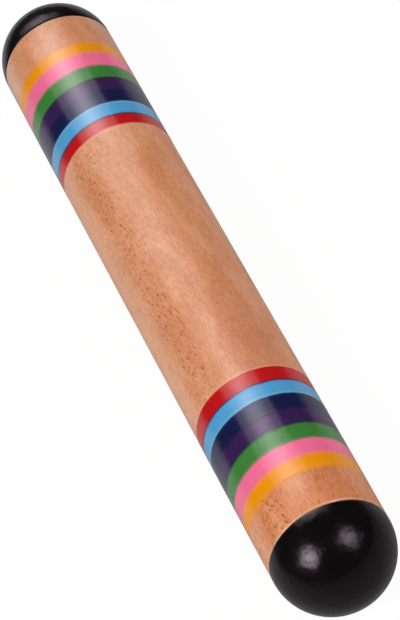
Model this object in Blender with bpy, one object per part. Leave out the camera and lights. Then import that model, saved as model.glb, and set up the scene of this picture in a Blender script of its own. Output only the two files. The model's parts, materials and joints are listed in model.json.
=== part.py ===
"""Rain stick: a bored beech tube with two domed end caps, and a pegged core and loose steel beads inside.

The stick lies on its side along X, on the plane Z = 0, with the origin under the middle of the tube.
Sizes are in metres.
"""

import math

import bmesh
import bpy
from mathutils import Matrix

# Tube
TUBE_DIAMETER = 0.040
TUBE_LENGTH = 0.250
TUBE_WALL = 0.0045
TUBE_EDGE = 0.0004

# End caps: a dome on a short straight land, with a spigot that enters the bore
CAP_LAND = 0.0012
CAP_DOME_HEIGHT = 0.0195
CAP_EDGE = 0.0002
SPIGOT_LENGTH = 0.014
SPIGOT_LEAD = 0.0010
SOCKET_DEPTH = 0.009

# Core rod and the pegs that cross it
CORE_DIAMETER = 0.008
CORE_EDGE = 0.0006
PEG_DIAMETER = 0.003
PEG_EDGE = 0.0004
PEG_COUNT = 21
PEGS_PER_HALF_TURN = 6
PEG_END_MARGIN = 0.0113

# Beads: in each bay one row along the lowest line of the bore and one up each side of it
BEAD_DIAMETER = 0.005
MIDDLE_ROW_BEADS = 3
SIDE_ROW_BEADS = 2

# Clearances
SEAT_GAP = 0.0003
PEG_TIP_GAP = 0.0008

# Facets
TUBE_SIDES = 32
CORE_SIDES = 16
PEG_SIDES = 10
DOME_RINGS = 8
BEAD_SUBDIVISIONS = 2
SHARP_ANGLE = math.radians(35)
MERGE_DISTANCE = 1e-6

# Finishes: linear colour, roughness, metallic
BEECH = ((0.60, 0.30, 0.16, 1.0), 0.35, 0.0)
BLACK_LACQUER = ((0.006, 0.005, 0.006, 1.0), 0.15, 0.0)
RAW_BEECH = ((0.56, 0.36, 0.21, 1.0), 0.65, 0.0)
PEG_BIRCH = ((0.68, 0.50, 0.30, 1.0), 0.60, 0.0)
BEAD_STEEL = ((0.55, 0.56, 0.58, 1.0), 0.20, 1.0)

# Sizes that follow from the ones above
TUBE_RADIUS = TUBE_DIAMETER / 2
BORE_RADIUS = TUBE_RADIUS - TUBE_WALL
CAP_SHOULDER_X = TUBE_LENGTH / 2 + SEAT_GAP
CHAMBER_HALF = CAP_SHOULDER_X - SPIGOT_LENGTH
SOCKET_FLOOR_X = CHAMBER_HALF + SOCKET_DEPTH
CORE_HALF = SOCKET_FLOOR_X - SEAT_GAP
PEG_PITCH = 2 * (CHAMBER_HALF - PEG_END_MARGIN) / (PEG_COUNT - 1)
PEG_TURN = math.pi / PEGS_PER_HALF_TURN
MIDDLE_PEG = PEG_COUNT // 2
LANE_RADIUS = BORE_RADIUS - BEAD_DIAMETER / 2 - SEAT_GAP
BEAD_PITCH = BEAD_DIAMETER + SEAT_GAP
LANE_ANGLE = 2 * math.asin(BEAD_PITCH / (2 * LANE_RADIUS))


def clear_scene():
    """Remove every object that the file opened with."""
    for obj in list(bpy.data.objects):
        bpy.data.objects.remove(obj, do_unlink=True)


def finish_material(name, finish):
    """Material of one finish."""
    colour, roughness, metallic = finish
    material = bpy.data.materials.new(name)
    material.use_nodes = True
    shader = material.node_tree.nodes["Principled BSDF"]
    shader.inputs["Base Color"].default_value = colour
    shader.inputs["Roughness"].default_value = roughness
    shader.inputs["Metallic"].default_value = metallic
    return material


def turn_profile(bm, profile, sides, closed):
    """Turn (x, radius) points about X, with the middle of each flat at that radius and a flat at the bottom."""
    corner = 1 / math.cos(math.pi / sides)
    ring = [bm.verts.new((x, 0, -radius * corner)) for x, radius in profile]
    edges = [bm.edges.new(pair) for pair in zip(ring, ring[1:])]
    if closed:
        edges.append(bm.edges.new((ring[-1], ring[0])))
    half_flat = Matrix.Rotation(math.pi / sides, 3, "X")
    bmesh.ops.rotate(bm, verts=ring, cent=(0, 0, 0), matrix=half_flat)
    bmesh.ops.spin(
        bm, geom=ring + edges, cent=(0, 0, 0), axis=(1, 0, 0), angle=2 * math.pi, steps=sides
    )
    bmesh.ops.remove_doubles(bm, verts=bm.verts, dist=MERGE_DISTANCE)
    bmesh.ops.recalc_face_normals(bm, faces=bm.faces)


def finished_mesh(name, bm, material=None):
    """Mesh data of a bmesh, shaded smooth between its sharp edges."""
    mesh = bpy.data.meshes.new(name)
    bm.to_mesh(mesh)
    bm.free()
    mesh.shade_smooth()
    mesh.set_sharp_from_angle(angle=SHARP_ANGLE)
    if material:
        mesh.materials.append(material)
    return mesh


def turned_mesh(name, profile, sides, closed=False, material=None):
    """Mesh data of one turned piece."""
    bm = bmesh.new()
    turn_profile(bm, profile, sides, closed)
    return finished_mesh(name, bm, material)


def add_object(name, mesh, axis, placement=Matrix.Identity(4)):
    """Object carried by the stick's axis."""
    obj = bpy.data.objects.new(name, mesh)
    bpy.context.scene.collection.objects.link(obj)
    obj.parent = axis
    obj.matrix_basis = placement
    return obj


def rod_profile(half_length, radius, edge):
    """Half outline of a solid rod with both ends chamfered."""
    return [
        (half_length, 0),
        (half_length, radius - edge),
        (half_length - edge, radius),
        (edge - half_length, radius),
        (-half_length, radius - edge),
        (-half_length, 0),
    ]


def add_tube(axis):
    """Beech tube, with the outer edge of each mouth eased."""
    half = TUBE_LENGTH / 2
    profile = [
        (half, BORE_RADIUS),
        (half, TUBE_RADIUS - TUBE_EDGE),
        (half - TUBE_EDGE, TUBE_RADIUS),
        (TUBE_EDGE - half, TUBE_RADIUS),
        (-half, TUBE_RADIUS - TUBE_EDGE),
        (-half, BORE_RADIUS),
    ]
    material = finish_material("lacquered_beech", BEECH)
    add_object("tube", turned_mesh("tube", profile, TUBE_SIDES, True, material), axis)


def cap_profile():
    """Half outline of a cap at the +X end, from the top of the dome to the floor of its socket."""
    spigot_radius = BORE_RADIUS - SEAT_GAP
    socket_radius = CORE_DIAMETER / 2 + SEAT_GAP
    dome_foot_x = CAP_SHOULDER_X + CAP_LAND
    steps = [math.pi / 2 * ring / DOME_RINGS for ring in range(DOME_RINGS)]
    dome = [(dome_foot_x + CAP_DOME_HEIGHT * math.cos(a), TUBE_RADIUS * math.sin(a)) for a in steps]
    return dome + [
        (dome_foot_x, TUBE_RADIUS),
        (CAP_SHOULDER_X + CAP_EDGE, TUBE_RADIUS),
        (CAP_SHOULDER_X, TUBE_RADIUS - CAP_EDGE),
        (CAP_SHOULDER_X, spigot_radius),
        (CHAMBER_HALF + SPIGOT_LEAD, spigot_radius),
        (CHAMBER_HALF, spigot_radius - SPIGOT_LEAD),
        (CHAMBER_HALF, socket_radius),
        (SOCKET_FLOOR_X, socket_radius),
        (SOCKET_FLOOR_X, 0),
    ]


def add_caps(axis):
    """Cap at each end: the far one is the near one turned half round."""
    material = finish_material("black_lacquer", BLACK_LACQUER)
    mesh = turned_mesh("end_cap", cap_profile(), TUBE_SIDES, False, material)
    add_object("near_end_cap", mesh, axis)
    add_object("far_end_cap", mesh, axis, Matrix.Rotation(math.pi, 4, "Z"))


def peg_x(index):
    """Place of a peg along the tube."""
    return (index - MIDDLE_PEG) * PEG_PITCH


def peg_placement(index):
    """Place and turn of a peg: the middle one stands upright, and the rest wind on from it."""
    angle = math.pi / 2 + (index - MIDDLE_PEG) * PEG_TURN
    across = Matrix.Rotation(math.pi / 2, 4, "Z")
    return Matrix.Translation((peg_x(index), 0, 0)) @ Matrix.Rotation(angle, 4, "X") @ across


def peg_hole_cutter(axis):
    """Guide solid with one drill for each peg."""
    radius = PEG_DIAMETER / 2 + SEAT_GAP
    profile = [
        (CORE_DIAMETER, 0),
        (CORE_DIAMETER, radius),
        (-CORE_DIAMETER, radius),
        (-CORE_DIAMETER, 0),
    ]
    bm = bmesh.new()
    for index in range(PEG_COUNT):
        drill = turned_mesh("peg_drill", profile, PEG_SIDES)
        drill.transform(peg_placement(index))
        bm.from_mesh(drill)
    cutter = add_object("peg_hole_cutter", finished_mesh("peg_hole_cutter", bm), axis)
    cutter.hide_render = True
    cutter.display_type = "WIRE"
    return cutter


def add_core(axis):
    """Core rod, drilled across for the pegs and seated in the socket of each cap."""
    material = finish_material("raw_beech", RAW_BEECH)
    profile = rod_profile(CORE_HALF, CORE_DIAMETER / 2, CORE_EDGE)
    core = add_object("core_rod", turned_mesh("core_rod", profile, CORE_SIDES, False, material), axis)
    drilling = core.modifiers.new("peg_holes", "BOOLEAN")
    drilling.operation = "DIFFERENCE"
    drilling.solver = "EXACT"
    drilling.object = peg_hole_cutter(axis)


def add_pegs(axis):
    """Pegs through the core, each ending just short of the bore on both sides."""
    material = finish_material("peg_birch", PEG_BIRCH)
    profile = rod_profile(BORE_RADIUS - PEG_TIP_GAP, PEG_DIAMETER / 2, PEG_EDGE)
    mesh = turned_mesh("peg", profile, PEG_SIDES, False, material)
    for index in range(PEG_COUNT):
        add_object(f"peg_{index + 1:02d}", mesh, axis, peg_placement(index))


def bay_centres():
    """Middle of each stretch of the bore's floor that no peg crosses."""
    stops = [-CHAMBER_HALF]
    for upright in range(MIDDLE_PEG % PEGS_PER_HALF_TURN, PEG_COUNT, PEGS_PER_HALF_TURN):
        stops += [peg_x(upright - 1), peg_x(upright + 1)]
    stops.append(CHAMBER_HALF)
    return [(low + high) / 2 for low, high in zip(stops[::2], stops[1::2])]


def add_beads(axis):
    """Loose beads, lying in three rows in each bay."""
    bm = bmesh.new()
    bmesh.ops.create_icosphere(bm, subdivisions=BEAD_SUBDIVISIONS, radius=BEAD_DIAMETER / 2)
    mesh = finished_mesh("bead", bm, finish_material("bead_steel", BEAD_STEEL))
    lanes = [(-LANE_ANGLE, SIDE_ROW_BEADS), (0.0, MIDDLE_ROW_BEADS), (LANE_ANGLE, SIDE_ROW_BEADS)]
    number = 0
    for centre in bay_centres():
        for lane, count in lanes:
            for place in range(count):
                number += 1
                x = centre + (place - (count - 1) / 2) * BEAD_PITCH
                spot = (x, LANE_RADIUS * math.sin(lane), -LANE_RADIUS * math.cos(lane))
                add_object(f"bead_{number:02d}", mesh, axis, Matrix.Translation(spot))


def main():
    """Build the whole stick."""
    clear_scene()
    axis = bpy.data.objects.new("stick_axis", None)
    bpy.context.scene.collection.objects.link(axis)
    axis.location = (0, 0, TUBE_RADIUS)
    add_tube(axis)
    add_caps(axis)
    add_core(axis)
    add_pegs(axis)
    add_beads(axis)


main()
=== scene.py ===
"""Looks of a wooden rain stick: a striped beech tube with black domed caps, and its core, pegs and beads."""

from __future__ import annotations

import json
import logging
import math
from collections.abc import Callable, Iterator, Mapping, Sequence
from contextlib import contextmanager
from dataclasses import astuple, dataclass
from enum import Enum
from typing import Any

import bmesh
import bpy
from bpy.types import Light, Material, Node, NodeSocket, NodeTree, Object
from mathutils import Matrix, Vector


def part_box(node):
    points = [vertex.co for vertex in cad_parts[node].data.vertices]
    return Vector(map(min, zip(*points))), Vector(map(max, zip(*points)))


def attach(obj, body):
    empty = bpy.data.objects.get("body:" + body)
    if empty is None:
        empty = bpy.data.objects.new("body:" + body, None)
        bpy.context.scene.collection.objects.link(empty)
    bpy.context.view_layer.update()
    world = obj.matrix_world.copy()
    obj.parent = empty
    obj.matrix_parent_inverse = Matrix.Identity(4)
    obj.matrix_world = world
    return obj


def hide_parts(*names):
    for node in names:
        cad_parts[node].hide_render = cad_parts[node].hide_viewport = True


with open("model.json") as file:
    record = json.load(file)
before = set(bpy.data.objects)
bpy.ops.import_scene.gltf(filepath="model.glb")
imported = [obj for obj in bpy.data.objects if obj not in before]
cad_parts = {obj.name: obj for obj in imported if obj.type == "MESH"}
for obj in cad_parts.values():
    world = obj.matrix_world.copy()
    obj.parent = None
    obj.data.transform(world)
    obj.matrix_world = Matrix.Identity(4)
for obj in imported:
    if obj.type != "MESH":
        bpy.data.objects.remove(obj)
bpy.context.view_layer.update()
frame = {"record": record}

LOG = logging.getLogger("rain_stick")
MM = 0.001
STICK_BODY = "stick"
OWN_PLACE = "own_place"

Colour = tuple[float, float, float, float]
Inputs = Mapping[int | str, Any] | Sequence[Any]
Point = tuple[float, float, float]
Span = tuple[float, float]


def linear(hex_colour: str, alpha: float = 1.0) -> Colour:
    """Turn an sRGB hex colour into linear RGBA.

    Args:
        hex_colour: A colour such as "#D0946E".
        alpha: The alpha to give it.

    Returns:
        Linear red, green and blue, and alpha.
    """
    shares = [int(hex_colour[i : i + 2], 16) / 255 for i in (1, 3, 5)]
    red, green, blue = (c / 12.92 if c <= 0.04045 else ((c + 0.055) / 1.055) ** 2.4 for c in shares)
    return red, green, blue, alpha


def set_inputs(node: Node, inputs: Inputs) -> None:
    """Set or link the inputs of a shader node.

    Args:
        node: The node.
        inputs: A value for each socket, or the output that feeds it, by socket name or number, or in order.
    """
    pairs = inputs.items() if isinstance(inputs, Mapping) else enumerate(inputs)
    for socket, value in pairs:
        if isinstance(value, NodeSocket):
            node.id_data.links.new(value, node.inputs[socket])
        else:
            node.inputs[socket].default_value = value


def add_node(kind: str, inputs: Inputs = (), tree: NodeTree | None = None, **settings: Any) -> NodeSocket:
    """Add a shader node with its settings, and set or link its inputs.

    Args:
        kind: Blender's name of the node type, without its "ShaderNode" start.
        inputs: What set_inputs takes.
        tree: The nodes to add it to, for a node that no output feeds.
        **settings: Attributes of the node itself.

    Returns:
        The first output that the node has in use. Its node attribute leads to the others.
    """
    values = inputs.values() if isinstance(inputs, Mapping) else inputs
    feeds = [value for value in values if isinstance(value, NodeSocket)]
    node = (feeds[0].id_data if feeds else tree).nodes.new("ShaderNode" + kind)
    for name, value in settings.items():
        setattr(node, name, value)
    set_inputs(node, inputs)
    return next(output for output in node.outputs if output.enabled)


def new_material(name: str) -> tuple[Material, NodeTree, Node]:
    """Start a material from one Principled shader.

    Args:
        name: The material's name.

    Returns:
        The material, its node tree and its Principled shader.
    """
    material = bpy.data.materials.new(name)
    material.use_nodes = True
    tree = material.node_tree
    return material, tree, tree.nodes["Principled BSDF"]


def set_stops(ramp: Node, stops: Sequence[tuple[float, Colour]]) -> None:
    """Fill a colour ramp with stops.

    Args:
        ramp: A Color Ramp node.
        stops: Position from 0 to 1 and linear RGBA of each stop, in rising order.
    """
    elements = ramp.color_ramp.elements
    while len(elements) > 1:
        elements.remove(elements[-1])
    elements[0].position, elements[0].color = stops[0]
    for position, colour in stops[1:]:
        elements.new(position).color = colour


def stick_place(tree: NodeTree, axis: Vector, turn: float = 0.0) -> NodeSocket:
    """Add the place of each point from the middle of the stick's axis.

    Args:
        tree: The material's nodes.
        axis: The middle of the stick's axis.
        turn: Turn of the other two directions about it, in degrees.

    Returns:
        The place in millimetres.
    """
    place = add_node("TexCoord", tree=tree).node.outputs["Object"]
    pose = [axis, (math.radians(turn), 0, 0), (MM, MM, MM)]
    return add_node("Mapping", [place, *pose], vector_type="TEXTURE")


def off_axis(place: NodeSocket) -> NodeSocket:
    """Add how far each point lies from an axis along X.

    Args:
        place: Place from a point on the axis.

    Returns:
        The distance, in the unit of the place.
    """
    across = add_node("VectorMath", [place, (0, 1, 1)], operation="MULTIPLY")
    return add_node("VectorMath", [across], operation="LENGTH")


def unroll(place: NodeSocket, radius: float) -> NodeSocket:
    """Unroll the outside of a round piece that lies along X.

    Args:
        place: Place in millimetres from the middle of the piece's axis.
        radius: The piece's radius in metres.

    Returns:
        Place in millimetres along the piece, and round it from its top.
    """
    along = add_node("SeparateXYZ", [place])
    spot = along.node.outputs
    turn = add_node("Math", [spot["Y"], spot["Z"]], operation="ARCTAN2")
    arc = add_node("Math", [turn, radius / MM], operation="MULTIPLY")
    return add_node("CombineXYZ", [along, arc])


@contextmanager
def editing() -> Iterator[None]:
    """Edit mode on the active piece, for the length of a with block."""
    bpy.ops.object.mode_set(mode="EDIT")
    yield
    bpy.ops.object.mode_set(mode="OBJECT")


def choose(kind: str, test: Callable[[Any], bool]) -> None:
    """Select the edges or faces of the piece in edit mode that pass a test, and nothing else.

    Args:
        kind: "EDGE" or "FACE".
        test: Says of each edge or face whether it is selected.
    """
    bpy.ops.mesh.select_mode(type=kind)
    bpy.ops.mesh.select_all(action="DESELECT")
    data = bpy.context.edit_object.data
    mesh = bmesh.from_edit_mesh(data)
    for item in mesh.edges if kind == "EDGE" else mesh.faces:
        item.select_set(test(item))
    mesh.select_flush_mode()
    bmesh.update_edit_mesh(data)


def rings_at(places: Sequence[float], axis: Vector, radius: float | None = None) -> Callable[[Any], bool]:
    """Make the test for the edges of rings round the stick's axis.

    Args:
        places: Place of each ring along the axis.
        axis: A point on the axis.
        radius: Radius of the rings, or None for every ring at those places.

    Returns:
        A test for choose.
    """
    slack = 0.01 * MM

    def on_ring(point: Vector, place: float) -> bool:
        """Say whether a point lies on the ring at a place."""
        beside = abs(point.x - place) <= slack
        return beside and (radius is None or abs((point - axis).yz.length - radius) < slack)

    return lambda edge: any(all(on_ring(vert.co, place) for vert in edge.verts) for place in places)


def scale_about(axis: Vector, across: float, along: float = 1.0) -> None:
    """Scale what is selected in edit mode, about a point on the stick's axis.

    Args:
        axis: The point.
        across: Scale across the axis.
        along: Scale along the axis.
    """
    bpy.ops.transform.resize(value=(along, across, across), center_override=axis)


def close_mesh(smooth_angle: float) -> None:
    """Merge doubles, point all faces outwards, and shade smooth.

    Args:
        smooth_angle: Widest angle between faces that is shaded smooth, in degrees.
    """
    with editing():
        bpy.ops.mesh.select_all(action="SELECT")
        bpy.ops.mesh.remove_doubles(threshold=1e-6)
        bpy.ops.mesh.normals_make_consistent(inside=False)
    bpy.ops.object.shade_smooth_by_angle(angle=math.radians(smooth_angle))


def begin_piece(name: str, primitive: Callable[..., Any], **settings: Any) -> Object:
    """Add a primitive as a new piece, and put its place and turn into its mesh.

    Args:
        name: The piece's name.
        primitive: The operator that adds it.
        **settings: What the operator takes.

    Returns:
        The piece.
    """
    bpy.ops.object.select_all(action="DESELECT")
    primitive(**settings)
    piece = bpy.context.active_object
    piece.name = piece.data.name = name
    bpy.ops.object.transform_apply(location=True, rotation=True, scale=True)
    return piece


def copy_piece(piece: Object, name: str, placement: Matrix) -> Object:
    """Copy a piece with its own mesh, placed in that mesh.

    Args:
        piece: The piece to copy.
        name: The copy's name.
        placement: Where the copy goes.

    Returns:
        The copy.
    """
    copy = piece.copy()
    copy.data = piece.data.copy()
    copy.name = copy.data.name = name
    copy.data.transform(placement)
    bpy.context.scene.collection.objects.link(copy)
    return copy


def copy_each(piece: Object, name: str, placements: Sequence[Matrix]) -> list[Object]:
    """Copy a piece to each of several places, and remove it.

    Args:
        piece: The piece.
        name: Start of the copies' names, which end in numbers from 01.
        placements: Where the copies go.

    Returns:
        The copies.
    """
    copies = [copy_piece(piece, f"{name}_{i:02d}", place) for i, place in enumerate(placements, start=1)]
    bpy.data.objects.remove(piece)
    return copies


def box_middle(node: str) -> Vector:
    """Find the middle of a CAD node's box."""
    low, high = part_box(node)
    return (low + high) / 2


def dress_piece(piece: Object, material: Material, body: str, node: str) -> None:
    """Give a piece its finish, and let it stand for a CAD node on that node's body.

    Args:
        piece: The modelled piece.
        material: Its finish.
        body: The body that it rides on.
        node: The CAD node that it stands for.
    """
    piece.data.materials.clear()
    piece.data.materials.append(material)
    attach(piece, body)
    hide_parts(node)
    LOG.info("%s: %d faces, on %s", piece.name, len(piece.data.polygons), body)


class End(Enum):
    """The two ends of the stick, by the sign of X."""

    NEAR = 1
    FAR = -1


class Paint(Enum):
    """Enamels of the stripes, from the cap inwards."""

    ORANGE = "#E79009"
    PINK = "#EC6B92"
    GREEN = "#3A7A36"
    PURPLE = "#331A4B"
    NAVY = "#121740"
    SKY = "#4E9ACA"
    RED = "#B91116"


class Seam(Enum):
    """Colours of the thin lines where two coats meet or a coat meets the wood."""

    BARE_HALO = "#EA9C80"
    SKY_OVER_RED = "#571F42"
    SKY_EDGE = "#69A2C6"
    NAVY_OVER_SKY = "#0B2450"
    GREEN_OVER_PURPLE = "#212130"
    PINK_OVER_GREEN = "#757553"


@dataclass(frozen=True)
class StickSizes:
    """Sizes of the stick in metres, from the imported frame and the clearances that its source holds."""

    radius: float
    half_tube: float
    cap_top: float
    core_half: float
    core_radius: float
    peg_radius: float
    bead_radius: float
    wall: float = 4.5 * MM
    seat_gap: float = 0.3 * MM
    spigot_length: float = 14 * MM
    socket_depth: float = 9 * MM
    peg_tip_gap: float = 0.8 * MM

    @classmethod
    def from_frame(cls) -> StickSizes:
        """Read the sizes from the boxes of the CAD nodes.

        Returns:
            The sizes.
        """
        tube_low, tube_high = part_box("tube")
        core_low, core_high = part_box("core_rod")
        peg_low, peg_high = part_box("peg_11")
        bead_low, bead_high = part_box("bead_01")
        return cls(
            radius=(tube_high.z - tube_low.z) / 2,
            half_tube=tube_high.x,
            cap_top=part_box("near_end_cap")[1].x,
            core_half=core_high.x,
            core_radius=(core_high.z - core_low.z) / 2,
            peg_radius=(peg_high.x - peg_low.x) / 2,
            bead_radius=(bead_high.z - bead_low.z) / 2,
        )

    @property
    def axis(self) -> Vector:
        """The middle of the tube's axis."""
        return Vector((0, 0, self.radius))

    @property
    def bore_radius(self) -> float:
        """Radius of the tube's bore."""
        return self.radius - self.wall

    @property
    def shoulder(self) -> float:
        """Place along X of the near cap's shoulder."""
        return self.half_tube + self.seat_gap


@dataclass(frozen=True)
class StripeEdges:
    """Outer edge of each stripe of one end, and where bare wood begins, in millimetres from the middle."""

    orange: float
    pink: float
    green: float
    purple: float
    navy: float
    sky: float
    red: float
    wood: float

    def inner_edges(self) -> list[float]:
        """List the inner edge of each stripe, from the middle outwards."""
        return list(astuple(self)[:0:-1])


STRIPES: dict[End, StripeEdges] = {
    End.NEAR: StripeEdges(109.9, 103.4, 96.7, 90.0, 82.9, 75.9, 69.9, 63.3),
    End.FAR: StripeEdges(109.1, 103.3, 95.9, 89.2, 82.2, 75.4, 68.9, 63.0),
}


@dataclass(frozen=True)
class Grain:
    """A cloudy pattern with cells of a real size, in millimetres along X, Y and Z."""

    along: float
    across: float
    through: float
    detail: float = 2.0

    def add(self, place: NodeSocket) -> NodeSocket:
        """Add the pattern.

        Args:
            place: Place on the piece, in millimetres.

        Returns:
            The pattern's value, about 0.2 to 0.8.
        """
        size = (self.along, self.across, self.through)
        cells = add_node("VectorMath", [place, size], operation="DIVIDE")
        return add_node("TexNoise", {"Vector": cells, "Scale": 1.0, "Detail": self.detail})


@dataclass(frozen=True)
class RayFlecks:
    """Ends of the wood's rays: short dashes along the grain, at most one to a cell.

    A cell has a real size in millimetres. The lengths are shares of a cell.
    """

    along: float
    across: float
    share: float
    longest: float = 0.42
    tilt: float = 0.0
    shortest: float = 0.02
    full_depth: float = 0.2
    palest: float = 0.45

    def add(self, place: NodeSocket) -> NodeSocket:
        """Add the flecks.

        Args:
            place: Place on the unrolled skin, in millimetres.

        Returns:
            1 inside a fleck and 0 outside, with soft edges.
        """
        cell = [(0, 0, 0), (0, 0, math.radians(self.tilt)), (self.along, self.across, 1)]
        cells = add_node("Mapping", [place, *cell], vector_type="TEXTURE")
        spots = add_node("TexVoronoi", {"Vector": cells, "Scale": 1.0}, voronoi_dimensions="2D")
        chance = add_node("SeparateColor", [spots.node.outputs["Color"]])
        lengths = [1 - self.share, 1, self.shortest, self.longest]
        reach = add_node("MapRange", [chance, *lengths], interpolation_type="SMOOTHSTEP")
        depth = add_node("Math", [spots, reach], operation="DIVIDE")
        fleck = add_node("MapRange", [depth, 1, self.full_depth], interpolation_type="SMOOTHSTEP")
        darkness = add_node("MapRange", [chance.node.outputs["Green"], 0, 1, self.palest])
        return add_node("Math", [fleck, darkness], operation="MULTIPLY")


@dataclass(frozen=True)
class GrainMark:
    """One long mark in the wood, by its place and size on the unrolled skin in millimetres.

    Its edge fades from one share of its half size to another.
    """

    along: float
    across: float
    length: float
    width: float = 0.5
    tilt: float = 8.0
    edge: Span = (1.1, 0.5)

    def add(self, place: NodeSocket) -> NodeSocket:
        """Add the mark.

        Args:
            place: Place on the unrolled skin, in millimetres.

        Returns:
            1 inside the mark and 0 outside, with soft edges.
        """
        turn = (0, 0, math.radians(self.tilt))
        shape = [(self.along, self.across, 0), turn, (self.length / 2, self.width / 2, 1)]
        offset = add_node("Mapping", [place, *shape], vector_type="TEXTURE")
        depth = add_node("VectorMath", [offset], operation="LENGTH")
        return add_node("MapRange", [depth, *self.edge], interpolation_type="SMOOTHSTEP")


# Pores that the cutter opened lengthwise, and a streak of darker wood towards the heart of the tree
LONG_PORES = [
    GrainMark(23.8, 2.2, 4.8, tilt=6.5),
    GrainMark(25.4, 4.45, 5.8, tilt=11.6),
    GrainMark(29.5, 3.9, 4.5, tilt=7.8),
    GrainMark(16.8, 3.1, 5.0, width=0.35, tilt=11.7),
]
HEART_STREAK = GrainMark(75.0, 20.5, 140.0, width=19.0, tilt=0.0)


@dataclass(frozen=True)
class StripedBeech:
    """Steamed beech, turned and sanded, with enamel stripes brushed on as it spun, under satin lacquer.

    To the eye it is warm pinkish tan with soft streaks, and short dark ray flecks where the plank's face was
    cut. The stripes are smooth and a little glossier, with thin lines where one coat overlaps the next.
    """

    sizes: StickSizes
    pale: str = "#D89873"
    middle: str = "#D18C64"
    dark: str = "#C98258"
    near_tint: str = "#FFF3E6"
    # Paler, greyer wood on one side of the plank: a painted sheen, standing in for the lacquer's reflection
    # on that side
    sheen_side_tint: str = "#DFAA8B"
    heart: str = "#B86E4D"
    fleck: str = "#A04F18"
    # A pale band just in from each mouth: partly paler bare end wood, partly a painted highlight of the
    # eased edge
    pale_rim_and_highlight: str = "#D69B78"
    plank_turn: float = 30.0
    run_out: float = 6.0
    shine: float = 0.73
    wood_shine_share: float = 0.76
    paint_shine: str = "#FFF6F7"
    paint_shine_tint: float = 0.16
    end_polish: float = 0.6
    # Roughness of the wood and of the paint
    roughness: Span = (0.42, 0.17)
    # Strengths of the layers of the wood, from 0 to 1
    sheen_side_share: float = 0.6
    streak_share: float = 0.45
    patch_share: float = 0.45
    small_flecks: float = 0.6
    faint_flecks: float = 0.42
    near_flecks: float = 0.52
    clear_flecks: float = 0.15
    # Where each layer begins and where it is full, in millimetres
    face_reach: Span = (7.0, 2.5)
    clear_reach: Span = (-75.0, -60.0)
    fleck_reach: Span = (103.0, 110.0)
    sheen_side_reach: Span = (-3.0, -11.0)
    tint_reach: Span = (50.0, 115.0)
    rim_inset: Span = (0.85, 0.5)
    polish_reach: Span = (98.0, 104.0)
    bleed_reach: Span = (106.0, 109.0)
    # Wander of a stripe's edge in millimetres: by hand, and along the grain at inner edges and the last one
    waver: float = 0.8
    bleed: Span = (0.2, 1.3)
    # Limits of the noise that a pattern uses, and of the brightness that it gives
    mid_noise: Span = (0.3, 0.7)
    patch_noise: Span = (0.38, 0.55)
    thread_light: Span = (0.85, 1.15)
    brush_light: Span = (0.98, 1.02)
    ripple_height: float = 12.0
    bump: float = 0.1

    def material(self) -> Material:
        """Build the material.

        Returns:
            The finished material.
        """
        material, tree, shader = new_material("striped_beech")
        plank = stick_place(tree, self.sizes.axis, self.plank_turn)
        lean = (0, 0, math.radians(self.run_out))
        grain = add_node("Mapping", {"Vector": plank, "Rotation": lean}, vector_type="TEXTURE")
        fibres = Grain(3.0, 0.5, 0.5, 4).add(grain)
        wood = self.wood(plank, grain, fibres)
        paint, cover = self.stripes(plank)
        # The paint is polished most, and then the bare ends beside the caps.
        far_out = add_node("Math", [add_node("SeparateXYZ", [plank])], operation="ABSOLUTE")
        ends = add_node("MapRange", [far_out, *self.polish_reach, 0, self.end_polish])
        polish = add_node("Math", [cover, ends], operation="MAXIMUM")
        waves = Grain(3, 7, 7, 1).add(plank)
        ripples = add_node("Math", [waves, self.ripple_height], operation="MULTIPLY")
        height = add_node("Mix", {0: cover, 2: fibres, 3: ripples}, data_type="FLOAT")
        looks = {
            "Base Color": add_node("Mix", {0: cover, 6: wood, 7: paint}, data_type="RGBA"),
            "Roughness": add_node("MapRange", [polish, 0, 1, *self.roughness]),
            "Specular IOR Level": self.shine,
            "Specular Tint": self.shine_colour(paint, cover, polish),
            "Normal": add_node("Bump", {"Strength": self.bump, "Distance": 0.05 * MM, "Height": height}),
        }
        set_inputs(shader, looks)
        return material

    def shine_colour(self, paint: NodeSocket, cover: NodeSocket, polish: NodeSocket) -> NodeSocket:
        """Add the colour of the highlights: a little of the paint's own on stripes, and weaker on the wood.

        Args:
            paint: The paint's colour.
            cover: How far paint covers each point.
            polish: How polished each point is.

        Returns:
            The colour.
        """
        hue = add_node("SeparateColor", [paint], mode="HSV")
        depth = add_node("Math", [hue.node.outputs[1], cover], operation="MULTIPLY")
        tint = add_node("Math", [depth, self.paint_shine_tint], operation="MULTIPLY")
        strength = add_node("MapRange", [polish, 0, 1, self.wood_shine_share])
        colour = add_node("CombineColor", [hue, tint, strength], mode="HSV")
        layer = {0: cover, 6: colour, 7: linear(self.paint_shine)}
        return add_node("Mix", layer, data_type="RGBA", blend_type="MULTIPLY")

    def flecks(self, skin: NodeSocket) -> NodeSocket:
        """Add the flecks: bold on the plank's face, longer at the near end, and fine and faint all over.

        Args:
            skin: Place in millimetres on the unrolled skin.

        Returns:
            How dark a fleck lies on each point, from 0 to 1.
        """
        along = add_node("SeparateXYZ", [skin])
        off_face = add_node("Math", [along.node.outputs["Y"]], operation="ABSOLUTE")
        face = add_node("MapRange", [off_face, *self.face_reach], interpolation_type="SMOOTHSTEP")
        clouds = Grain(5, 2.5, 2.5, 1).add(skin)
        patches = add_node("MapRange", [clouds, *self.patch_noise, self.patch_share])
        clear_end = add_node("MapRange", [along, *self.clear_reach, self.clear_flecks])
        worked = add_node("Math", [face, clear_end], operation="MULTIPLY")
        weights = [(worked, patches), (worked, self.small_flecks), (clear_end, self.faint_flecks)]
        strip, small, faint = (add_node("Math", pair, operation="MULTIPLY") for pair in weights)
        near_end = add_node("MapRange", [along, *self.fleck_reach, 0, self.near_flecks])
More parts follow.
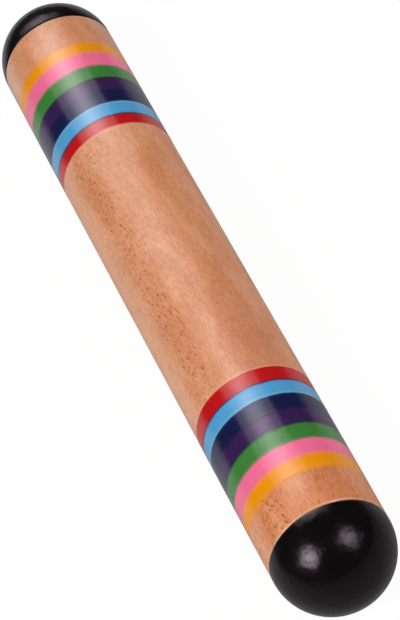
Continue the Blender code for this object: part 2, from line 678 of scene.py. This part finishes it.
        # Real rays end in lenses 0.2 mm wide; these are about three times as wide so that they show.
        layers = [
            (RayFlecks(2.8, 1.1, 0.85, 0.54, 19), strip),
            (RayFlecks(2.0, 0.7, 0.8, 0.48, 15), small),
            (RayFlecks(4.6, 1.4, 0.7, 0.46, -9), near_end),
            (RayFlecks(3.2, 0.55, 0.7, 0.46, 2), faint),
        ]
        layers += [(pore, face) for pore in LONG_PORES]
        darkest: float | NodeSocket = 0.0
        for mark, strength in layers:
            weighed = add_node("Math", [mark.add(skin), strength], operation="MULTIPLY")
            darkest = add_node("Math", [weighed, darkest], operation="MAXIMUM")
        return darkest

    def wood(self, plank: NodeSocket, grain: NodeSocket, fibres: NodeSocket) -> NodeSocket:
        """Add the colour of the bare wood.

        Args:
            plank: Place in millimetres along, across and through the plank.
            grain: The same, turned so that X follows the grain.
            fibres: The fine grain.

        Returns:
            The colour.
        """
        skin = unroll(plank, self.sizes.radius)
        along = add_node("SeparateXYZ", [plank])
        across = along.node.outputs["Y"]
        far_out = add_node("Math", [along], operation="ABSOLUTE")
        rim = [self.sizes.half_tube / MM - inset for inset in self.rim_inset]
        # A painted sheen: the wood grows paler on one side of the plank, as if the lacquer mirrored light
        # there
        painted_sheen = add_node("MapRange", [across, *self.sheen_side_reach, 0, self.sheen_side_share])
        streak = HEART_STREAK.add(skin)
        darker = add_node("Math", [streak, self.streak_share], operation="MULTIPLY")
        threads = add_node("MapRange", [fibres, *self.mid_noise, *self.thread_light])
        towards_near = add_node("MapRange", [along, *self.tint_reach])
        # Partly a painted highlight: the wood turns pale in a thin band beside each cap, where the eased
        # edge catches the light
        edge = add_node("MapRange", [far_out, *rim])
        colour = add_node("ValToRGB", [Grain(18, 6, 6, 2).add(grain)])
        tones = [(0.30, self.dark), (0.50, self.middle), (0.70, self.pale)]
        set_stops(colour.node, [(position, linear(tone)) for position, tone in tones])
        layers = [
            (painted_sheen, linear(self.sheen_side_tint), "MIX"),
            (darker, linear(self.heart), "MIX"),
            (1.0, threads, "MULTIPLY"),
            (towards_near, linear(self.near_tint), "MULTIPLY"),
            (edge, linear(self.pale_rim_and_highlight), "MIX"),
            (self.flecks(skin), linear(self.fleck), "MIX"),
        ]
        for share, over, blend in layers:
            layer = {0: share, 6: colour, 7: over}
            colour = add_node("Mix", layer, data_type="RGBA", blend_type=blend)
        return colour

    def stripes(self, plank: NodeSocket) -> tuple[NodeSocket, NodeSocket]:
        """Add the painted stripes.

        Args:
            plank: Place in millimetres along, across and through the plank.

        Returns:
            The paint's colour, and how far paint covers each point.
        """
        along = self.wavering(plank)
        half = self.sizes.half_tube / MM
        ramps = {}
        for end, edges in STRIPES.items():
            share = add_node("Math", [along, end.value / half], operation="MULTIPLY")
            ramps[end] = add_node("ValToRGB", [share])
            set_stops(ramps[end].node, [(place / half, colour) for place, colour in self.coats(edges)])
        far, near = ramps[End.FAR], ramps[End.NEAR]
        at_near = add_node("Math", [along, 0.0], operation="GREATER_THAN")
        coat = add_node("Mix", {0: at_near, 6: far, 7: near}, data_type="RGBA")
        films = {2: far.node.outputs["Alpha"], 3: near.node.outputs["Alpha"]}
        cover = add_node("Mix", {0: at_near, **films}, data_type="FLOAT")
        strokes = Grain(0.5, 26, 26).add(plank)
        brushed = add_node("MapRange", [strokes, *self.mid_noise, *self.brush_light])
        layer = {0: 1.0, 6: coat, 7: brushed}
        paint = add_node("Mix", layer, data_type="RGBA", blend_type="MULTIPLY")
        mid_wall = (self.sizes.radius - self.sizes.wall / 2) / MM
        outside = add_node("Math", [off_axis(plank), mid_wall], operation="GREATER_THAN")
        return paint, add_node("Math", [cover, outside], operation="MULTIPLY")

    def wavering(self, plank: NodeSocket) -> NodeSocket:
        """Add the place along the stick, shifted so that stripe edges waver and the last coat bleeds.

        Args:
            plank: Place in millimetres along, across and through the plank.

        Returns:
            The shifted place along the plank.
        """
        along = add_node("SeparateXYZ", [plank])
        far_out = add_node("Math", [along], operation="ABSOLUTE")
        bleed = add_node("MapRange", [far_out, *self.bleed_reach, *self.bleed])
        # Noise lies about 0.5.
        fingers = add_node("Math", [Grain(6, 0.6, 0.6).add(plank), 0.5], operation="SUBTRACT")
        hand = add_node("Math", [Grain(60, 9, 9).add(plank), 0.5], operation="SUBTRACT")
        ragged = add_node("Math", [fingers, bleed], operation="MULTIPLY")
        shift = add_node("Math", [hand, self.waver, ragged], operation="MULTIPLY_ADD")
        return add_node("Math", [along, shift], operation="ADD")

    def coats(self, edges: StripeEdges) -> list[tuple[float, Colour]]:
        """List the colour stops of one end's stripes, from the middle outwards.

        Args:
            edges: Where the stripes lie.

        Returns:
            Place in millimetres and linear RGBA of each stop, where alpha is how far paint covers the wood.
        """
        # Place of each change, half the length of its blend, and the colour and cover after it
        changes = [
            (edges.wood - 0.8, 0.25, Seam.BARE_HALO, 0.5),
            (edges.wood, 0.15, Paint.RED, 1.0),
            (edges.red - 0.75, 0.25, Seam.SKY_OVER_RED, 1.0),
            (edges.red + 0.1, 0.25, Paint.SKY, 1.0),
            (edges.sky - 0.8, 0.2, Seam.SKY_EDGE, 1.0),
            (edges.sky, 0.2, Seam.NAVY_OVER_SKY, 1.0),
            (edges.sky + 1.0, 0.4, Paint.NAVY, 1.0),
            (edges.navy, 0.9, Paint.PURPLE, 1.0),
            (edges.purple - 0.75, 0.3, Seam.GREEN_OVER_PURPLE, 1.0),
            (edges.purple, 0.4, Paint.GREEN, 1.0),
            (edges.green - 0.5, 0.4, Seam.PINK_OVER_GREEN, 1.0),
            (edges.green + 0.25, 0.3, Paint.PINK, 1.0),
            (edges.pink, 0.8, Paint.ORANGE, 1.0),
            (edges.orange, 1.0, Paint.ORANGE, 0.0),
        ]
        before = linear(Seam.BARE_HALO.value, 0.0)
        stops = []
        for place, half_blend, colour, cover in changes:
            after = linear(colour.value, cover)
            stops += [(place - half_blend, before), (place + half_blend, after)]
            before = after
        return stops


@dataclass(frozen=True)
class BlackLacquer:
    """Turned hardwood sprayed with black lacquer.

    To the eye it is near black, with soft reflections that gentle waves and turning rings break up.
    """

    sizes: StickSizes
    colour: str = "#090607"
    worn_colour: str = "#0F0B0D"
    shine: float = 0.28
    shine_tint: str = "#F9E6F2"
    roughness: Span = (0.14, 0.24)
    # Real turning marks are about 0.2 mm apart; these are 0.9 mm apart so that they show.
    mark_pitch: float = 0.9
    wave_height: float = 4.0

    def material(self) -> Material:
        """Build the material.

        Returns:
            The finished material.
        """
        material, tree, shader = new_material("black_lacquer")
        place = stick_place(tree, self.sizes.axis)
        clouds = Grain(7, 7, 7).add(place)
        colours = {0: clouds, 6: linear(self.colour), 7: linear(self.worn_colour)}
        rings = {"W": off_axis(place), "Scale": 1 / self.mark_pitch, "Detail": 1.0}
        turns = add_node("TexNoise", rings, noise_dimensions="1D")
        marks = add_node("Math", [turns, clouds], operation="MULTIPLY")
        waves = Grain(2.5, 2.5, 2.5, 1).add(place)
        uneven = add_node("Math", [waves, self.wave_height, marks], operation="MULTIPLY_ADD")
        looks = {
            "Base Color": add_node("Mix", colours, data_type="RGBA"),
            "Roughness": add_node("MapRange", [clouds, 0, 1, *self.roughness]),
            "Specular IOR Level": self.shine,
            "Specular Tint": linear(self.shine_tint),
            "Normal": add_node("Bump", {"Strength": 1.0, "Distance": 0.03 * MM, "Height": uneven}),
        }
        set_inputs(shader, looks)
        return material


@dataclass(frozen=True)
class RawBeech:
    """Planed beech dowel with no finish: pale, dry and matt, with fine straight grain and small flecks."""

    sizes: StickSizes
    pale: str = "#D6B48F"
    dark: str = "#B98F66"
    fleck: str = "#8C6440"
    fleck_share: float = 0.6
    roughness: float = 0.62

    def material(self) -> Material:
        """Build the material.

        Returns:
            The finished material.
        """
        material, tree, shader = new_material("raw_beech")
        place = stick_place(tree, self.sizes.axis)
        grain = Grain(24, 0.7, 0.7, 3).add(place)
        tone = add_node("ValToRGB", [grain])
        set_stops(tone.node, [(0.35, linear(self.dark)), (0.65, linear(self.pale))])
        skin = unroll(place, self.sizes.core_radius)
        flecks = RayFlecks(2.2, 0.6, 0.8, 0.46).add(skin)
        share = add_node("Math", [flecks, self.fleck_share], operation="MULTIPLY")
        colours = {0: share, 6: tone, 7: linear(self.fleck)}
        looks = {
            "Base Color": add_node("Mix", colours, data_type="RGBA"),
            "Roughness": self.roughness,
            "Normal": add_node("Bump", {"Strength": 0.4, "Distance": 0.05 * MM, "Height": grain}),
        }
        set_inputs(shader, looks)
        return material


@dataclass(frozen=True)
class BirchDowel:
    """Birch dowel cut to pegs, with no finish: creamy and matt, with fine grain along each peg."""

    pale: str = "#E2CDA8"
    dark: str = "#CBAF85"
    roughness: float = 0.6

    def material(self) -> Material:
        """Build the material.

        Returns:
            The finished material.
        """
        material, tree, shader = new_material("peg_birch")
        own = add_node("Attribute", tree=tree, attribute_name=OWN_PLACE, attribute_type="GEOMETRY").node
        place = add_node("VectorMath", [own.outputs["Vector"], (MM, MM, MM)], operation="DIVIDE")
        grain = Grain(0.5, 0.5, 9, 3).add(place)
        tone = add_node("ValToRGB", [grain])
        set_stops(tone.node, [(0.35, linear(self.dark)), (0.65, linear(self.pale))])
        looks = {
            "Base Color": tone,
            "Roughness": self.roughness,
            "Normal": add_node("Bump", {"Strength": 0.4, "Distance": 0.04 * MM, "Height": grain}),
        }
        set_inputs(shader, looks)
        return material


@dataclass(frozen=True)
class RolledSteel:
    """Rolled steel shot, tumbled and oiled: bright grey metal with dull patches and fine scuffs."""

    bright: str = "#C3C5C8"
    dull: str = "#96989B"
    roughness: Span = (0.14, 0.42)

    def material(self) -> Material:
        """Build the material.

        Returns:
            The finished material.
        """
        material, tree, shader = new_material("rolled_steel")
        spot = add_node("TexCoord", tree=tree).node.outputs["Object"]
        place = add_node("VectorMath", [spot, (MM, MM, MM)], operation="DIVIDE")
        patches = Grain(1.6, 1.6, 1.6, 3).add(place)
        colours = {0: patches, 6: linear(self.bright), 7: linear(self.dull)}
        scuffs = Grain(0.9, 0.12, 0.12, 2).add(place)
        looks = {
            "Base Color": add_node("Mix", colours, data_type="RGBA"),
            "Roughness": add_node("MapRange", [patches, 0, 1, *self.roughness]),
            "Metallic": 1.0,
            "Normal": add_node("Bump", {"Strength": 0.15, "Distance": 0.02 * MM, "Height": scuffs}),
        }
        set_inputs(shader, looks)
        return material


@dataclass
class BeechTube:
    """The bored tube, with a thin film of enamel standing on it at each stripe and its mouths eased."""

    sizes: StickSizes
    sides: int = 192
    mouth_edge: float = 0.4 * MM
    film: float = 0.06 * MM
    ridge: float = 0.02 * MM
    ridge_half: float = 0.1 * MM
    ridge_foot: float = 0.25 * MM
    ridge_rest: float = 0.45 * MM
    smooth_angle: float = 40.0

    @property
    def wood_radius(self) -> float:
        """Radius of the bare wood, which the film brings up to the tube's full radius."""
        return self.sizes.radius - self.film

    def build(self) -> Object:
        """Model the tube.

        Returns:
            The tube.
        """
        s = self.sizes
        piece = begin_piece(
            "beech_tube",
            bpy.ops.mesh.primitive_cylinder_add,
            vertices=self.sides,
            radius=self.wood_radius,
            depth=2 * s.half_tube,
            end_fill_type="NOTHING",
            location=s.axis,
            rotation=(0, math.pi / 2, 0),
        )
        with editing():
            for end, edges in STRIPES.items():
                self.raise_film(end, edges)
            self.bore()
        close_mesh(self.smooth_angle)
        return piece

    def raise_film(self, end: End, edges: StripeEdges) -> None:
        """Lift the paint of one end off the wood, and leave a low ridge where each coat overlaps the next.

        Args:
            end: The end.
            edges: Where its stripes lie.
        """
        low, *seams = (edge * MM for edge in edges.inner_edges())
        high = edges.orange * MM
        for place in (low, high, *seams):
            for step in (self.ridge_half, self.ridge_foot, self.ridge_rest):
                self.cut_ring(end.value * (place - step))
                self.cut_ring(end.value * (place + step))
        coat_radius = self.sizes.radius - self.ridge
        self.lift(end, low + self.ridge_half, high - self.ridge_half, coat_radius / self.wood_radius)
        for seam in seams:
            self.lift(end, seam - self.ridge_half, seam + self.ridge_half, self.sizes.radius / coat_radius)

    def lift(self, end: End, low: float, high: float, scale: float) -> None:
        """Scale a stretch of one end's wall away from the axis.

        Args:
            end: The end.
            low: Where the stretch begins, in metres from the middle of the tube.
            high: Where it ends.
            scale: The scale across the axis.
        """
        choose("FACE", lambda face: low < end.value * face.calc_center_median().x < high)
        scale_about(self.sizes.axis, scale)

    def cut_ring(self, x: float) -> None:
        """Cut the tube's wall with a ring of edges at x, unless it has one there."""
        bpy.ops.mesh.select_all(action="SELECT")
        bpy.ops.mesh.bisect(plane_co=(x, 0, 0), plane_no=(1, 0, 0))

    def bore(self) -> None:
        """Close the mouths in to the bore, join them by the bore's wall, and ease the edges."""
        s = self.sizes
        mouths = (s.half_tube, -s.half_tube)
        choose("EDGE", rings_at(mouths, s.axis))
        bpy.ops.mesh.extrude_edges_move()
        scale_about(s.axis, s.bore_radius / self.wood_radius)
        bpy.ops.mesh.bridge_edge_loops()
        for radius in (self.wood_radius, s.bore_radius):
            choose("EDGE", rings_at(mouths, s.axis, radius))
            bpy.ops.mesh.bevel(offset=self.mouth_edge, segments=3, affect="EDGES")

    def dress(self, piece: Object) -> None:
        """Give the tube its finish and its place."""
        dress_piece(piece, StripedBeech(self.sizes).material(), STICK_BODY, "tube")


@dataclass
class DomedCaps:
    """The end caps: a dome on a short land, with a spigot in the bore and a socket for the core."""

    sizes: StickSizes
    segments: int = 160
    rings: int = 96
    land: float = 1.2 * MM
    shoulder_edge: float = 0.2 * MM
    spigot_lead: float = 1.0 * MM
    inset: float = 0.06 * MM
    smooth_angle: float = 40.0

    def build(self) -> dict[End, Object]:
        """Model the near cap, and turn a copy of it half round for the far end.

        Returns:
            The cap of each end.
        """
        s = self.sizes
        foot = s.shoulder + self.land
        radius = s.radius - self.inset
        centre = Vector((foot, 0, s.radius))
        near = begin_piece(
            "near_domed_cap",
            bpy.ops.mesh.primitive_uv_sphere_add,
            segments=self.segments,
            ring_count=self.rings,
            radius=radius,
            location=centre,
            rotation=(0, math.pi / 2, 0),
        )
        with editing():
            bpy.ops.mesh.select_all(action="SELECT")
            bpy.ops.mesh.bisect(plane_co=centre, plane_no=(1, 0, 0), clear_inner=True)
            bpy.ops.mesh.select_all(action="SELECT")
            scale_about(centre, 1.0, (s.cap_top - foot) / radius)
            choose("EDGE", rings_at([foot], centre))
            self.turn_back(radius)
            choose("EDGE", rings_at([s.shoulder], centre, radius))
            bpy.ops.mesh.bevel(offset=self.shoulder_edge, segments=3, affect="EDGES")
        close_mesh(self.smooth_angle)
        far = copy_piece(near, "far_domed_cap", Matrix.Rotation(math.pi, 4, "Z"))
        return {End.NEAR: near, End.FAR: far}

    def turn_back(self, radius: float) -> None:
        """Carry the dome's open rim back along the land, the shoulder, the spigot and the socket.

        Args:
            radius: Radius of the open rim, which is selected.
        """
        s = self.sizes
        spigot = s.bore_radius - s.seat_gap
        socket = s.core_radius + s.seat_gap
        runs = [
            (-self.land, radius),
            (0.0, spigot),
            (self.spigot_lead - s.spigot_length, spigot),
            (-self.spigot_lead, spigot - self.spigot_lead),
            (0.0, socket),
            (s.socket_depth, socket),
        ]
        for step, new_radius in runs:
            bpy.ops.mesh.extrude_edges_move()
            bpy.ops.transform.translate(value=(step, 0, 0))
            scale_about(s.axis, new_radius / radius)
            radius = new_radius
        bpy.ops.mesh.edge_face_add()

    def dress(self, caps: dict[End, Object]) -> None:
        """Give the caps their finish and their places.

        Args:
            caps: The cap of each end.
        """
        lacquer = BlackLacquer(self.sizes).material()
        for end, cap in caps.items():
            dress_piece(cap, lacquer, STICK_BODY, f"{end.name.lower()}_end_cap")


@dataclass
class PeggedCore:
    """The core rod, drilled across, and the pegs that wind along it."""

    sizes: StickSizes
    core_sides: int = 64
    core_edge: float = 0.6 * MM
    peg_sides: int = 24
    peg_edge: float = 0.5 * MM
    peg_count: int = 21
    peg_turn: float = 30.0
    hole_gap: float = 0.05 * MM
    rod_smooth_angle: float = 50.0
    core_smooth_angle: float = 35.0
    # Rings on a rod's ends, each inset by the rod's radius over one of these
    end_insets: tuple[int, int] = (3, 6)

    def placements(self) -> list[Matrix]:
        """List where the pegs go: the middle one stays upright as it was modelled, and the rest wind on.

        Returns:
            Place and turn of each peg, in order.
        """
        placements = []
        for index in range(self.peg_count):
            angle = math.radians(self.peg_turn) * (index - self.peg_count // 2)
            middle = box_middle(f"peg_{index + 1:02d}")
            placements.append(Matrix.Translation(middle) @ Matrix.Rotation(angle, 4, "X"))
        return placements

    def rod(self, name: str, sides: int, radius: float, half: float, edge: float) -> Object:
        """Model an upright rod with rounded ends, at the origin.

        Args:
            name: The piece's name.
            sides: Sides of the rod.
            radius: Its radius.
            half: Half its length.
            edge: Radius of its rounded ends' edges.

        Returns:
            The rod.
        """
        cylinder = bpy.ops.mesh.primitive_cylinder_add
        piece = begin_piece(name, cylinder, vertices=sides, radius=radius, depth=2 * half)
        with editing():
            choose("EDGE", lambda line: abs(line.verts[0].co.z - line.verts[1].co.z) < half)
            bpy.ops.mesh.bevel(offset=edge, segments=4, affect="EDGES")
            choose("FACE", lambda face: abs(face.normal.z) > 0.99)
            for part in self.end_insets:
                bpy.ops.mesh.inset(thickness=radius / part)
        close_mesh(self.rod_smooth_angle)
        return piece

    def build_core(self) -> Object:
        """Model the core and drill it.

        Returns:
            The core.
        """
        s = self.sizes
        core = self.rod("core_dowel", self.core_sides, s.core_radius, s.core_half, self.core_edge)
        # Half a side's turn keeps the core's long edges off the middles of the holes.
        half_side = Matrix.Rotation(math.pi / self.core_sides, 4, "X")
        core.data.transform(Matrix.Translation(s.axis) @ half_side @ Matrix.Rotation(math.pi / 2, 4, "Y"))
        hole_radius = s.peg_radius + self.hole_gap
        drill = self.rod("drill", self.peg_sides, hole_radius, 2 * s.core_radius, self.peg_edge)
        drills = copy_each(drill, "drill", self.placements())
        bpy.ops.object.select_all(action="DESELECT")
        for piece in drills:
            piece.select_set(True)
        bpy.context.view_layer.objects.active = drills[0]
        bpy.ops.object.join()
        cutter = bpy.context.active_object
        holes = core.modifiers.new("holes", "BOOLEAN")
        holes.object = cutter
        holes.operation = "DIFFERENCE"
        holes.solver = "EXACT"
        bpy.context.view_layer.objects.active = core
        bpy.ops.object.modifier_apply(modifier=holes.name)
        bpy.data.objects.remove(cutter)
        bpy.ops.object.select_all(action="DESELECT")
        core.select_set(True)
        bpy.ops.object.shade_smooth_by_angle(angle=math.radians(self.core_smooth_angle))
        return core

    def build_pegs(self) -> list[Object]:
        """Model one peg, note each point's own place on it for its grain, and copy it along the core.

        Returns:
            The pegs.
        """
        s = self.sizes
        peg = self.rod("peg", self.peg_sides, s.peg_radius, s.bore_radius - s.peg_tip_gap, self.peg_edge)
        places = peg.data.attributes.new(OWN_PLACE, "FLOAT_VECTOR", "POINT")
        for vert in peg.data.vertices:
            places.data[vert.index].vector = vert.co
        return copy_each(peg, "birch_peg", self.placements())

    def dress(self, core: Object, pegs: list[Object]) -> None:
        """Give the core and the pegs their finishes and their places.

        Args:
            core: The core.
            pegs: The pegs, in order.
        """
        dress_piece(core, RawBeech(self.sizes).material(), STICK_BODY, "core_rod")
        birch = BirchDowel().material()
        for number, peg in enumerate(pegs, start=1):
            dress_piece(peg, birch, STICK_BODY, f"peg_{number:02d}")


@dataclass
class BeadCharge:
    """The loose steel beads: rolled balls with the faint belt that the rolls leave."""

    sizes: StickSizes
    count: int = 28
    segments: int = 24
    rings: int = 14
    belt_half: float = 0.35 * MM
    belt_rise: float = 0.012
    spin_step: float = 137.5
    smooth_angle: float = 60.0

    def build(self) -> list[Object]:
        """Model one bead and copy it to each place, turned differently each time.

        Returns:
            The beads.
        """
        rise = 1 + self.belt_rise
        radius = self.sizes.bead_radius / rise
        ball = bpy.ops.mesh.primitive_uv_sphere_add
        bead = begin_piece("bead", ball, segments=self.segments, ring_count=self.rings, radius=radius)
        with editing():
            for side in (-1, 1):
                bpy.ops.mesh.select_all(action="SELECT")
                bpy.ops.mesh.bisect(plane_co=(0, 0, side * self.belt_half), plane_no=(0, 0, 1))
            choose("FACE", lambda face: abs(face.calc_center_median().z) < self.belt_half)
            bpy.ops.transform.resize(value=(rise, rise, 1), center_override=(0, 0, 0))
        close_mesh(self.smooth_angle)
        return copy_each(bead, "steel_bead", [self.placement(i + 1) for i in range(self.count)])

    def placement(self, number: int) -> Matrix:
        """Place and turn of a bead.

        Args:
            number: Number of the bead, from 1.

        Returns:
            The placement.
        """
        spin = math.radians(self.spin_step * number)
        turn = Matrix.Rotation(spin, 4, "Z") @ Matrix.Rotation(2 * spin, 4, "X")
        return Matrix.Translation(box_middle(f"bead_{number:02d}")) @ turn

    def dress(self, beads: list[Object]) -> None:
        """Give the beads their finish, and let each ride on its own body.

        Args:
            beads: The beads, in order.
        """
        steel = RolledSteel().material()
        groups = frame["record"]["behaviour"]["bodies"]
        bodies = {node: body for body, nodes in groups.items() for node in nodes}
        for number, bead in enumerate(beads, start=1):
            node = f"bead_{number:02d}"
            dress_piece(bead, steel, bodies[node], node)


@dataclass(frozen=True)
class Softbox:
    """One soft lamp, placed by the direction in which the stick sees it.

    Its strength is a quarter of its power over its area. A hot spot adds a multiple of that at its centre,
    and fades out at shares of its half width and height. A lamp that isn't mirrored doesn't show in the
    stick's gloss.
    """

    name: str
    seen_from: Point
    direction: Point
    distance: float
    width: float
    height: float
    strength: float
    hot: float = 0.0
    hot_reach: Span = (1.0, 1.0)
    mirrored: bool = True

    def add(self) -> None:
        """Hang the lamp, facing the point that sees it."""
        lamp = bpy.data.lights.new(self.name, "AREA")
        lamp.shape = "RECTANGLE"
        lamp.size = self.width
        lamp.size_y = self.height
        lamp.energy = 4 * self.width * self.height * self.strength
        self.heat_centre(lamp)
        holder = bpy.data.objects.new(self.name, lamp)
        bpy.context.scene.collection.objects.link(holder)
        away = Vector(self.direction).normalized()
        holder.location = Vector(self.seen_from) + away * self.distance
        holder.rotation_euler = away.to_track_quat("Z", "Y").to_euler()
        holder.visible_camera = False
        holder.visible_glossy = self.mirrored

    def heat_centre(self, lamp: Light) -> None:
        """Make the lamp brighter towards its centre.

        Args:
            lamp: The lamp.
        """
        lamp.use_nodes = True
        tree = lamp.node_tree
        spot = add_node("NewGeometry", tree=tree).node.outputs["Parametric"]
        offset = add_node("VectorMath", [spot, (0.5, 0.5, 0.0)], operation="SUBTRACT")
        half_reach = (self.hot_reach[0] / 2, self.hot_reach[1] / 2, 1.0)
        spread = add_node("VectorMath", [offset, half_reach], operation="DIVIDE")
        reach = add_node("VectorMath", [spread], operation="LENGTH")
        heat = add_node("MapRange", [reach, 0, 1, 1 + self.hot, 1])
        set_inputs(tree.nodes["Emission"], {"Strength": heat})


@dataclass(frozen=True)
class Studio:
    """White floor, soft lamps and the camera.

    A white share is how far a ray from the camera, and one from a gloss, meets plain white.
    """

    lens: float = 214.84
    camera_place: Point = (0.8364, 0.0006, 0.8830)
    sight: Point = (-0.6908, 0.0, -0.7230)
    roll: float = -29.05
    floor_size: float = 16.0
    floor_shade: float = 0.44
    floor_white: float = 1.08
    floor_white_share: Span = (0.88, 0.06)
    # The floor's shade in gloss, from beside the stick outwards: a painted pool of light
    painted_pool_shade: Span = (0.52, 0.17)
    pool_centre: Point = (-0.12, -0.06, 0.0)
    pool_shape: Point = (1.5, 1.0, 1.0)
    pool_reach: float = 0.3
    room_light: float = 0.02
    room_white_share: Span = (1.0, 0.02)

    def build(self) -> None:
        """Set up the whole studio."""
        self.add_camera()
        self.add_floor()
        self.add_room()
        for lamp in self.lamps():
            lamp.add()
        bpy.context.scene.view_settings.view_transform = "Standard"

    def lamps(self) -> list[Softbox]:
        """List the lamps: one at each side in front, a wide one behind, and two fills.

        Returns:
            The lamps.
        """
        near_cap = (0.1265, 0.0, 0.02)
        middle = (0.0, 0.0, 0.02)
        far_half = (-0.03, 0.0, 0.02)
        return [
            Softbox("left_box", near_cap, (0.380, -0.641, 0.666), 1.3, 0.86, 0.86, 1.45, hot=9.0),
            Softbox("right_box", near_cap, (0.440, 0.599, 0.669), 1.3, 0.88, 0.88, 0.70, hot=8.0),
            Softbox("back_box", far_half, (-0.719, 0.0, 0.695), 1.0, 0.98, 0.72, 0.75, 4.0, (0.74, 1.3)),
            Softbox("left_fill", middle, (0.0, -0.94, 0.34), 1.3, 0.8, 0.8, 0.7, mirrored=False),
            Softbox("right_fill", middle, (0.1, 0.90, 0.42), 1.3, 0.8, 0.8, 2.3, mirrored=False),
        ]

    def add_camera(self) -> None:
        """Stand the camera in the upright plane through the stick, and roll it."""
        data = bpy.data.cameras.new("camera")
        data.lens = self.lens
        camera = bpy.data.objects.new("camera", data)
        bpy.context.scene.collection.objects.link(camera)
        turn = Vector(self.sight).to_track_quat("-Z", "Y").to_matrix().to_4x4()
        roll = Matrix.Rotation(math.radians(self.roll), 4, "Z")
        camera.matrix_world = Matrix.Translation(self.camera_place) @ turn @ roll
        bpy.context.scene.camera = camera

    def add_floor(self) -> None:
        """Lay a paper floor, which looks white and keeps the stick's shadow; in gloss it shows a painted
        pool of light, palest beside the stick.
        """
        floor = begin_piece("floor", bpy.ops.mesh.primitive_plane_add, size=self.floor_size)
        material, tree, shader = new_material("white_paper")
        # Rays from a gloss see a painted pool of light on the floor, palest beside the stick and fading with
        # distance
        spot = add_node("TexCoord", tree=tree).node.outputs["Object"]
        pool_patch = {"Vector": spot, "Location": self.pool_centre, "Scale": self.pool_shape}
        offset = add_node("Mapping", pool_patch, vector_type="TEXTURE")
        reach = add_node("VectorMath", [offset], operation="LENGTH")
        pale = add_node("MapRange", [reach, 0, self.pool_reach, *self.painted_pool_shade])
        gloss = add_node("LightPath", tree=tree).node.outputs["Is Glossy Ray"]
        shade = add_node("Mix", {0: gloss, 2: self.floor_shade, 3: pale}, data_type="FLOAT")
        set_inputs(shader, {"Base Color": shade, "Roughness": 0.9, "Specular IOR Level": 0.0})
        white = add_node("Emission", {"Strength": self.floor_white}, tree)
        both = self.whiten(shader.outputs[0], white, *self.floor_white_share)
        set_inputs(tree.nodes["Material Output"], {"Surface": both})
        floor.data.materials.append(material)

    def add_room(self) -> None:
        """Fill the room with weak light, and show it white to the camera."""
        world = bpy.data.worlds.new("studio")
        bpy.context.scene.world = world
        world.use_nodes = True
        tree = world.node_tree
        room = tree.nodes["Background"]
        set_inputs(room, {"Color": (1, 1, 1, 1), "Strength": self.room_light})
        white = add_node("Background", {"Color": (1, 1, 1, 1), "Strength": 1.0}, tree)
        both = self.whiten(room.outputs[0], white, *self.room_white_share)
        set_inputs(tree.nodes["World Output"], {"Surface": both})

    def whiten(self, surface: NodeSocket, white: NodeSocket, seen: float, mirrored: float) -> NodeSocket:
        """Show a surface as plain white: much to the camera and through glass, and little in gloss.

        Args:
            surface: The surface's own shader.
            white: The shader of the white.
            seen: Share of white for rays from the camera or through glass.
            mirrored: Share for rays from a glossy surface, so that dark gloss stays dark.

        Returns:
            The mixed shader.
        """
        tree = surface.id_data
        path = add_node("LightPath", tree=tree).node.outputs
        rays = [path["Is Camera Ray"], path["Is Transmission Ray"]]
        straight = add_node("Math", rays, operation="MAXIMUM")
        shown = add_node("Math", [straight, seen], operation="MULTIPLY")
        gloss = add_node("Math", [path["Is Glossy Ray"], mirrored], operation="MULTIPLY")
        share = add_node("Math", [shown, gloss], operation="MAXIMUM")
        return add_node("MixShader", [share, surface, white])


def main() -> None:
    """Build the stick and its studio."""
    logging.basicConfig(level=logging.INFO, format="%(name)s: %(message)s")
    sizes = StickSizes.from_frame()
    tube = BeechTube(sizes)
    tube.dress(tube.build())
    caps = DomedCaps(sizes)
    caps.dress(caps.build())
    core = PeggedCore(sizes)
    core.dress(core.build_core(), core.build_pegs())
    beads = BeadCharge(sizes)
    beads.dress(beads.build())
    Studio().build()


if __name__ == "__main__":
    main()
